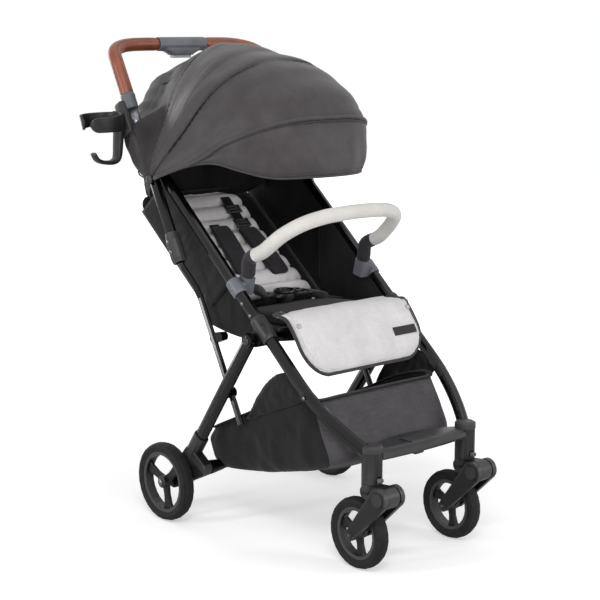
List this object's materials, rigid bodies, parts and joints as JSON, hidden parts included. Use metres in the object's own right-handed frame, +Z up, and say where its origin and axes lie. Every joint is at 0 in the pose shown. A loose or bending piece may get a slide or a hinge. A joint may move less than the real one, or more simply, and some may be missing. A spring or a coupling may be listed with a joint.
{
  "type": "stroller",
  "caption": "Compact folding stroller with swivel front wheels, reclining padded seat, bumper bar, canopy, basket and cup holder.",
  "frame": {"origin": "on the floor under the middle of the object's box", "axes": "+Z up, -Y the way the child faces and the stroller rolls, +X to the child's left"},
  "size_m": [0.575, 0.881, 1.0006],
  "materials": {
    "black_tube": "satin black powder coat on aluminium tube",
    "dark_plastic": "fine textured black nylon",
    "grey_plastic": "fine textured dark grey nylon",
    "silver_button": "satin silver",
    "leatherette": "brown stitched leatherette",
    "foam_tyre": "matt black foamed tyre",
    "charcoal_cloth": "charcoal woven polyester",
    "black_cloth": "black woven polyester",
    "pale_cloth": "pale grey melange padded cloth"
  },
  "bodies": {
    "front_frame": {"side_tube_left": "black_tube", "side_tube_right": "black_tube", "caster_post_left": "dark_plastic", "caster_post_right": "dark_plastic", "leg_bracket_left": "dark_plastic", "leg_bracket_right": "dark_plastic", "bar_mount_left": "grey_plastic", "bar_mount_right": "grey_plastic", "side_wing_left": "black_cloth", "side_wing_right": "black_cloth", "footboard": "grey_plastic", "seat_board": "dark_plastic", "seat_cushion": "black_cloth", "seat_skirt": "black_cloth", "buckle": "dark_plastic", "basket": "charcoal_cloth"},
    "rear_frame": {"rear_leg_left": "black_tube", "rear_leg_right": "black_tube", "brake_housing_left": "dark_plastic", "brake_housing_right": "dark_plastic", "cross_tube": "black_tube"},
    "handle_frame": {"handle_grip_left": "leatherette", "handle_grip_right": "leatherette", "elbow_cover_left": "dark_plastic", "elbow_cover_right": "dark_plastic", "canopy_hub_left": "dark_plastic", "canopy_hub_right": "dark_plastic", "handle_tube": "black_tube", "handle_housing": "grey_plastic", "cup_holder": "dark_plastic", "rear_bow": "black_tube"},
    "struts": {"strut_left": "black_tube", "strut_right": "black_tube"},
    "canopy_front": {"canopy": "charcoal_cloth", "front_bow": "black_tube"},
    "canopy_middle": {"middle_bow": "black_tube"},
    "backrest": {"backrest_board": "black_cloth", "backrest_pad": "pale_cloth", "shoulder_strap_left": "black_cloth", "shoulder_strap_right": "black_cloth"},
    "calf_rest": {"calf_pad": "pale_cloth", "calf_board": "dark_plastic"},
    "bumper": {"bumper_bar": "pale_cloth"},
    "fold_button": {"fold_button": "silver_button"},
    "buckle_button": {"buckle_button": "dark_plastic"},
    "brake_pedal": {"brake_pedal": "grey_plastic"},
    "rear_wheel_left": {"rear_rim_left": "dark_plastic", "rear_tyre_left": "foam_tyre"},
    "caster_left": {"caster_head_left": "dark_plastic"},
    "fork_left": {"caster_fork_left": "dark_plastic"},
    "front_wheel_left": {"front_rim_left": "dark_plastic", "front_tyre_left": "foam_tyre"},
    "swivel_lock_left": {"swivel_lock_left": "grey_plastic"},
    "rear_wheel_right": {"rear_rim_right": "dark_plastic", "rear_tyre_right": "foam_tyre"},
    "caster_right": {"caster_head_right": "dark_plastic"},
    "fork_right": {"caster_fork_right": "dark_plastic"},
    "front_wheel_right": {"front_rim_right": "dark_plastic", "front_tyre_right": "foam_tyre"},
    "swivel_lock_right": {"swivel_lock_right": "grey_plastic"}
  },
  "joints": [
    {"name": "frame_fold", "type": "hinge", "parent": "front_frame", "child": "rear_frame", "pos_m": [0.03746, -0.11426, 0.41947], "axis": [-1, 0, 0], "range_deg": [0, 60]},
    {"name": "handle_tilt", "type": "hinge", "parent": "front_frame", "child": "handle_frame", "pos_m": [0.03746, 0.19464, 0.72207], "axis": [-1, 0, 0], "range_deg": [0, 12.2]},
    {"name": "strut_swing", "type": "hinge", "parent": "rear_frame", "child": "struts", "pos_m": [0.03746, -0.02897, 0.29657], "axis": [1, 0, 0], "range_deg": [0, 48]},
    {"name": "canopy_fold", "type": "hinge", "parent": "handle_frame", "child": "canopy_front", "pos_m": [0.03746, 0.2179, 0.76633], "axis": [-1, 0, 0], "range_deg": [0, 70], "deforming": ["canopy"]},
    {"name": "canopy_middle_bow", "type": "hinge", "parent": "handle_frame", "child": "canopy_middle", "pos_m": [0.03746, 0.2179, 0.76633], "axis": [-1, 0, 0], "range_deg": [0, 42.5]},
    {"name": "backrest_recline", "type": "hinge", "parent": "front_frame", "child": "backrest", "pos_m": [0.03746, 0.04604, 0.45487], "axis": [1, 0, 0], "range_deg": [0, 22]},
    {"name": "calf_rest_tilt", "type": "hinge", "parent": "front_frame", "child": "calf_rest", "pos_m": [0.03746, -0.14796, 0.47487], "axis": [-1, 0, 0], "range_deg": [0, 45]},
    {"name": "bumper_bar_release", "type": "slide", "parent": "front_frame", "child": "bumper", "axis": [0, -0.2419, 0.9703], "range_m": [0, 0.045]},
    {"name": "fold_button_press", "type": "slide", "parent": "handle_frame", "child": "fold_button", "axis": [0, 0, 1], "range_m": [0, 0.004], "stiffness_N_per_m": 400, "springref_m": -0.002},
    {"name": "buckle_button_press", "type": "slide", "parent": "front_frame", "child": "buckle_button", "axis": [0, 0, -1], "range_m": [0, 0.002], "stiffness_N_per_m": 400, "springref_m": -0.002},
    {"name": "brake_pedal_press", "type": "hinge", "parent": "rear_frame", "child": "brake_pedal", "pos_m": [0.03746, 0.03404, 0.12687], "axis": [-1, 0, 0], "range_deg": [0, 12]},
    {"name": "rear_wheel_spin_left", "type": "hinge", "parent": "rear_frame", "child": "rear_wheel_left", "pos_m": [0.27246, 0.13104, 0.08277], "axis": [1, 0, 0], "continuous": true},
    {"name": "caster_swivel_left", "type": "hinge", "parent": "front_frame", "child": "caster_left", "pos_m": [0.16746, -0.37796, 0.17737], "axis": [0, 0, 1], "continuous": true},
    {"name": "front_suspension_left", "type": "hinge", "parent": "caster_left", "child": "fork_left", "pos_m": [0.16746, -0.41896, 0.15687], "axis": [1, 0, 0], "range_deg": [0, 4], "stiffness_Nm_per_rad": 90, "springref_deg": -4.01},
    {"name": "front_wheel_spin_left", "type": "hinge", "parent": "fork_left", "child": "front_wheel_left", "pos_m": [0.16746, -0.34506, 0.07047], "axis": [1, 0, 0], "continuous": true},
    {"name": "swivel_lock_slide_left", "type": "slide", "parent": "front_frame", "child": "swivel_lock_left", "axis": [0, 0, 1], "range_m": [0, 0.004]},
    {"name": "rear_wheel_spin_right", "type": "hinge", "parent": "rear_frame", "child": "rear_wheel_right", "pos_m": [-0.19754, 0.13104, 0.08277], "axis": [1, 0, 0], "continuous": true},
    {"name": "caster_swivel_right", "type": "hinge", "parent": "front_frame", "child": "caster_right", "pos_m": [-0.09254, -0.37796, 0.17737], "axis": [0, 0, 1], "continuous": true},
    {"name": "front_suspension_right", "type": "hinge", "parent": "caster_right", "child": "fork_right", "pos_m": [-0.09254, -0.41896, 0.15687], "axis": [1, 0, 0], "range_deg": [0, 4], "stiffness_Nm_per_rad": 90, "springref_deg": -4.01},
    {"name": "front_wheel_spin_right", "type": "hinge", "parent": "fork_right", "child": "front_wheel_right", "pos_m": [-0.09254, -0.34506, 0.07047], "axis": [1, 0, 0], "continuous": true},
    {"name": "swivel_lock_slide_right", "type": "slide", "parent": "front_frame", "child": "swivel_lock_right", "axis": [0, 0, 1], "range_m": [0, 0.004]}
  ],
  "couplings": [
    {"joint": "handle_tilt", "follows": "frame_fold", "ratio": 0.2025},
    {"joint": "strut_swing", "follows": "frame_fold", "ratio": 0.7975},
    {"joint": "canopy_middle_bow", "follows": "canopy_fold", "ratio": 0.6}
  ]
}
